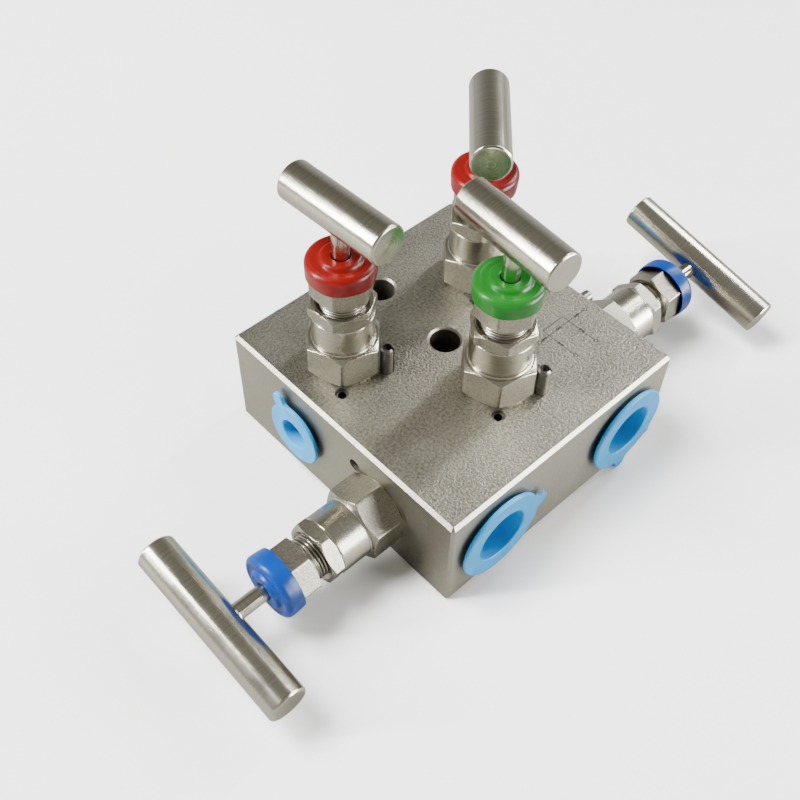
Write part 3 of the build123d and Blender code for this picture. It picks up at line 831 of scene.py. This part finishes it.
def spindle(name):
    """Swivel end, screw and stem, closed at both ends. Its length comes from the frame."""
    place = valve_place(name)
    foot, _, _, out = place
    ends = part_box(name + "_spindle")
    low, high = sorted(float(np.dot(np.array(corner) - foot, out)) / MM for corner in ends)
    rows = [(0.0, low), (STEM_R, low), (STEM_R, SCREW_LOW), (SCREW_R, SCREW_LOW),
            (SCREW_R, SCREW_TOP), (STEM_R, SCREW_TOP), (STEM_R, high), (0.0, high)]
    return turned(name + "_stem", place, rows, around(), [polished_steel], 0.1, closed=False), low, high


for name in VALVES:
    piece, low, high = spindle(name)
    dress(piece, name + "_spindle", name + "_spindle_body")
print("a spindle runs from", round(low, 2), "to", round(high, 2), "mm along its axis")

# %% Handles
HANDLE_R = 5.75
HANDLE_CHAMFER = 0.45
HANDLE_CENTRE = 55.5


def handle_place(name):
    """The bar's own place: its middle, and directions out of the valve, sideways and along the bar."""
    foot, across, up, out = valve_place(name)
    turn = np.radians(VALVES[name]["handle"])
    along = across * np.cos(turn) + up * np.sin(turn)
    return foot + out * HANDLE_CENTRE * MM, out, np.cross(along, out), along


def handle(name):
    """A bar with chamfered ends, closed at both poles."""
    half = VALVES[name]["bar"] / 2
    rows = [(0.0, -half), (HANDLE_R - HANDLE_CHAMFER, -half), (HANDLE_R, HANDLE_CHAMFER - half),
            (HANDLE_R, half - HANDLE_CHAMFER), (HANDLE_R - HANDLE_CHAMFER, half), (0.0, half)]
    end_faces = (0, 4)
    finishes = [handle_steel, faced_steel]
    return turned(name + "_bar", handle_place(name), rows, around(), finishes, 0.15, closed=False,
                  flats=end_faces)


for name in VALVES:
    dress(handle(name), name + "_handle", name + "_spindle_body")
    print(name, "bar is", VALVES[name]["bar"], "mm long")

# %% [markdown]
# ## Port plugs
# Each port is closed for transport by a thin-walled plug with a flange and a pull tab. The plug is a cup,
# open to the outside, so its inside shows deeper blue. The flange's outline is the one thing that isn't
# round: it is the larger of a circle and a round-ended tab, both written as a distance from the axis at
# each angle. Joining two flat shapes would do it too, with an uneven mesh where they meet. The small vent
# plugs get a tab 0.8 mm longer than their solids have, which is what a finger needs to pull so small a plug.

# %% Port plugs
TAB_WIDTH = 4.2
TAB_ROOT, TAB_ROOT_SPREAD = 0.7, np.radians(7)
TAB_SECTOR = 22
PLUG_CLEARANCE = 0.06
PLUG_DEPTH = 9.0
PLUG_WALL = 1.3
PIPE_TAPER = 1 / 32
FLANGE_LOW, FLANGE_TOP = 1.2, 2.5


def tab_outline(angle, flange, tab_turn, length):
    """The larger of the flange circle and the tab: its round end ahead, its straight sides at half the width.

    The flange swells a little on both sides of the tab, which rounds the tab's roots.
    """
    off = (angle - np.radians(tab_turn) + np.pi) % (2 * np.pi) - np.pi
    half = TAB_WIDTH / 2
    centre = flange + length - half
    near = np.abs(off) < np.arctan2(half, centre)
    end = centre * np.cos(off) + np.sqrt(np.maximum(half**2 - (centre * np.sin(off)) ** 2, 0))
    side = half / np.maximum(np.abs(np.sin(off)), 1e-3)
    tab = np.where(near, end, np.where(np.abs(off) < np.pi / 2, side, 0))
    root = np.clip((np.abs(off) - np.arctan2(half, flange)) / TAB_ROOT_SPREAD, 0, 1)
    return np.maximum(np.maximum(flange, tab), flange + TAB_ROOT * (1 - root) ** 2)


def port_plug(name, place, port, flange, tab_turn, tab_length):
    """Plug, flange with tab, and cup, closed at the tip and at the cup's floor.

    The angles crowd together round the tab.
    """
    crowd = np.linspace(-TAB_SECTOR, TAB_SECTOR, 61)
    rest = np.linspace(TAB_SECTOR, 360 - TAB_SECTOR, 80)[1:-1]
    angle = np.radians(tab_turn) + np.radians(np.concatenate([crowd, rest]))
    edge = tab_outline(angle, flange, tab_turn, tab_length)
    outer = port - PLUG_CLEARANCE
    tip = outer - PLUG_DEPTH * PIPE_TAPER
    cup_floor = PLUG_WALL - PLUG_DEPTH
    rows = [
        (0.0, -PLUG_DEPTH), (tip, -PLUG_DEPTH), (outer, 0.0), (outer, FLANGE_LOW),
        (edge - 0.15, FLANGE_LOW), (edge, FLANGE_LOW + 0.3), (edge, FLANGE_TOP - 0.3),
        (edge - 0.3, FLANGE_TOP), (outer - 1.0, FLANGE_TOP - 0.05), (outer - PLUG_WALL, FLANGE_TOP - 0.3),
        (tip - PLUG_WALL, cup_floor), (0.0, cup_floor)]
    reach = [0.1, 0.6, 0.1, 0.3, 0.1, 0.2, 0.25, 0.3, 0.3, 0.4, 0.7, 0.1]
    return turned(name + "_plug", place, rows, angle, [PLASTICS["port"]], reach, closed=False)


MAIN_PORT = {"port": 9.9, "flange": 14.3, "tab_length": 3.6}
VENT_PORT = {"port": 6.3, "flange": 10.2, "tab_length": 4.4}
MAIN_PORT_X = 27.0 * MM
VENT_PORT_Y = 17.0 * MM
PORTS = {
    "process_cap_high": (MAIN_PORT, (0, -1), 10.0), "process_cap_low": (MAIN_PORT, (0, -1), 270.0),
    "instrument_cap_high": (MAIN_PORT, (0, 1), 250.0), "instrument_cap_low": (MAIN_PORT, (0, 1), 285.0),
    "vent_cap_high": (VENT_PORT, (-1, 0), 120.0), "vent_cap_low": (VENT_PORT, (1, 0), 120.0),
}
block_x, block_y, block_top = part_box("manifold_block")[1]


def port_place(node, side, end):
    """The port's mouth on the block's face, at half its height, and directions across, up and outwards."""
    out = np.array((side, end, 0.0))
    across = np.array((-end, side, 0.0))
    main_x = -MAIN_PORT_X if node.endswith("high") else MAIN_PORT_X
    foot = (main_x, block_y * end, block_top / 2) if end else (block_x * side, VENT_PORT_Y, block_top / 2)
    return np.array(foot), across, np.cross(out, across), out


for node, (sizes, facing, tab_turn) in PORTS.items():
    piece = port_plug(node, port_place(node, *facing), tab_turn=tab_turn, **sizes)
    dress(piece, node)
    low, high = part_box(node)
    print(node, "is", np.round((np.array(piece.dimensions) - (high - low)) / MM, 2), "mm over its CAD box")

# %% [markdown]
# ## The marked flow diagram
# Such blocks carry a laser-marked line diagram of the flow: a line from each process port, a bridge for the
# transmitter where they end, and a cross line with the equalizer between its two vents. It is drawn here as
# plain strokes with a small ring at each end and a bow-tie at each valve, with no words. An image could
# carry it, but strokes stay sharp from any distance. They stand a hundredth of a millimetre proud of the
# top and read as a dark stain, as the real mark does.

# %% Flow diagram
PROUD, SUNK = 0.012, 0.05
STROKE = 0.3
RING_R = 0.6
SIGN = 0.75


def strokes(name, lines, width):
    """A flat box along each line (x0, y0, x1, y1) in millimetres: four corners low, the same four high."""
    lines = np.array(lines, float)
    start, end = lines[:, :2], lines[:, 2:]
    along = (end - start) / np.linalg.norm(end - start, axis=1, keepdims=True)
    beside = np.stack([-along[:, 1], along[:, 0]], axis=1) * width / 2
    ring = np.stack([start - beside, end - beside, end + beside, start + beside], axis=1)
    low = np.concatenate([ring, np.full((*ring.shape[:2], 1), block_top / MM - SUNK)], axis=2)
    high = low + np.array((0, 0, SUNK + PROUD))
    points = np.concatenate([low, high], axis=1) * MM
    box = np.array([[3, 2, 1, 0], [4, 5, 6, 7], [0, 1, 5, 4], [1, 2, 6, 5], [2, 3, 7, 6], [3, 0, 4, 7]])
    faces = (box[None] + 8 * np.arange(len(lines))[:, None, None]).reshape(-1, 4)
    mesh = bpy.data.meshes.new(name)
    mesh.from_pydata(points.reshape(-1, 3), [], faces.tolist())
    mesh.materials.append(laser_mark)
    piece = bpy.data.objects.new(name, mesh)
    bpy.context.scene.collection.objects.link(piece)
    return piece


def ring_lines(x, y):
    """A small ring as twelve short lines between points RING_R from (x, y)."""
    turn = np.linspace(0, 2 * np.pi, 13)
    points = np.stack([x + RING_R * np.cos(turn), y + RING_R * np.sin(turn)], axis=1)
    return np.concatenate([points[:-1], points[1:]], axis=1).tolist()


def valve_sign(x, y, turned_up=False):
    """Two triangles point to point: the sign for a valve on a line."""
    tall = SIGN * 0.6
    lines = [(-SIGN, -tall, -SIGN, tall), (SIGN, -tall, SIGN, tall),
             (-SIGN, -tall, SIGN, tall), (-SIGN, tall, SIGN, -tall)]
    if turned_up:
        lines = [(y0, x0, y1, x1) for x0, y0, x1, y1 in lines]
    return [(x + x0, y + y0, x + x1, y + y1) for x0, y0, x1, y1 in lines]


HIGH_LINE, LOW_LINE = 24.0, 32.8
BRIDGE, CROSS_LINE = -14.0, -16.5
diagram = [
    (HIGH_LINE, BRIDGE, LOW_LINE, BRIDGE), (HIGH_LINE, BRIDGE, HIGH_LINE, -26.4),
    (LOW_LINE, BRIDGE, LOW_LINE, -26.6), (20.4, CROSS_LINE, 39.4, CROSS_LINE)]
for x, y in ((HIGH_LINE, -27.0), (LOW_LINE, -27.2), (19.8, CROSS_LINE), (40.0, CROSS_LINE)):
    diagram += ring_lines(x, y)
for x in (28.4, 36.2, 21.9):
    diagram += valve_sign(x, CROSS_LINE)
for x, y in ((HIGH_LINE, -21.0), (LOW_LINE, -21.6)):
    diagram += valve_sign(x, y, turned_up=True)
mark = strokes("flow_diagram", diagram, STROKE)
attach(mark, "manifold")
print("the diagram has", len(diagram), "strokes, each", STROKE, "mm wide")

# %% [markdown]
# ## The sheet it stands on
# A broad pale sheet, slightly uneven in tone so that the soft shadows don't look printed. It is staging and
# isn't part of the object. A white sheet mirrored in steel would wash the metal out, so mirror-like rays
# find it much darker, as if grey cards stood round the block. A studio does the same with black flags.

# %% Floor
pale_sheet, tree, shader, coordinates = finish("pale_sheet", (0.83, 0.83, 0.835, 1), 0.0, 0.55)
cloud = use(tree, handling_smudge, Vector=coordinates["Object"], Spread=3.0)["Mask"]
lit = blend_colour(tree, cloud, (0.89, 0.89, 0.89, 1), (0.94, 0.94, 0.945, 1))
mirrored = tree.nodes.new("ShaderNodeLightPath").outputs["Is Glossy Ray"]
tree.links.new(blend_colour(tree, mirrored, lit, (0.24, 0.235, 0.215, 1)), shader.inputs["Base Color"])
SHEET_POINTS = 9
spread = np.linspace(-2.5, 2.5, SHEET_POINTS)
grid_x, grid_y = np.meshgrid(spread, spread)
squares = np.arange(SHEET_POINTS - 1)
corner = (squares[:, None] * SHEET_POINTS + squares[None, :]).ravel()
beyond = corner + SHEET_POINTS
sheet = bpy.data.meshes.new("pale_sheet")
sheet.from_pydata(np.stack([grid_x, grid_y, 0 * grid_x], axis=-1).reshape(-1, 3), [],
                  np.stack([corner, corner + 1, beyond + 1, beyond], axis=1).tolist())
sheet.materials.append(pale_sheet)
floor = bpy.data.objects.new("pale_sheet", sheet)
bpy.context.scene.collection.objects.link(floor)
floor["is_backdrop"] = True
print("the sheet is", spread[-1] - spread[0], "m across")

# %% Sizes and finish
visual_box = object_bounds()
change = [np.round((new - old) / MM, 2).tolist() for new, old in zip(visual_box, cad_box)]
print("visual minus CAD, mm:", change)
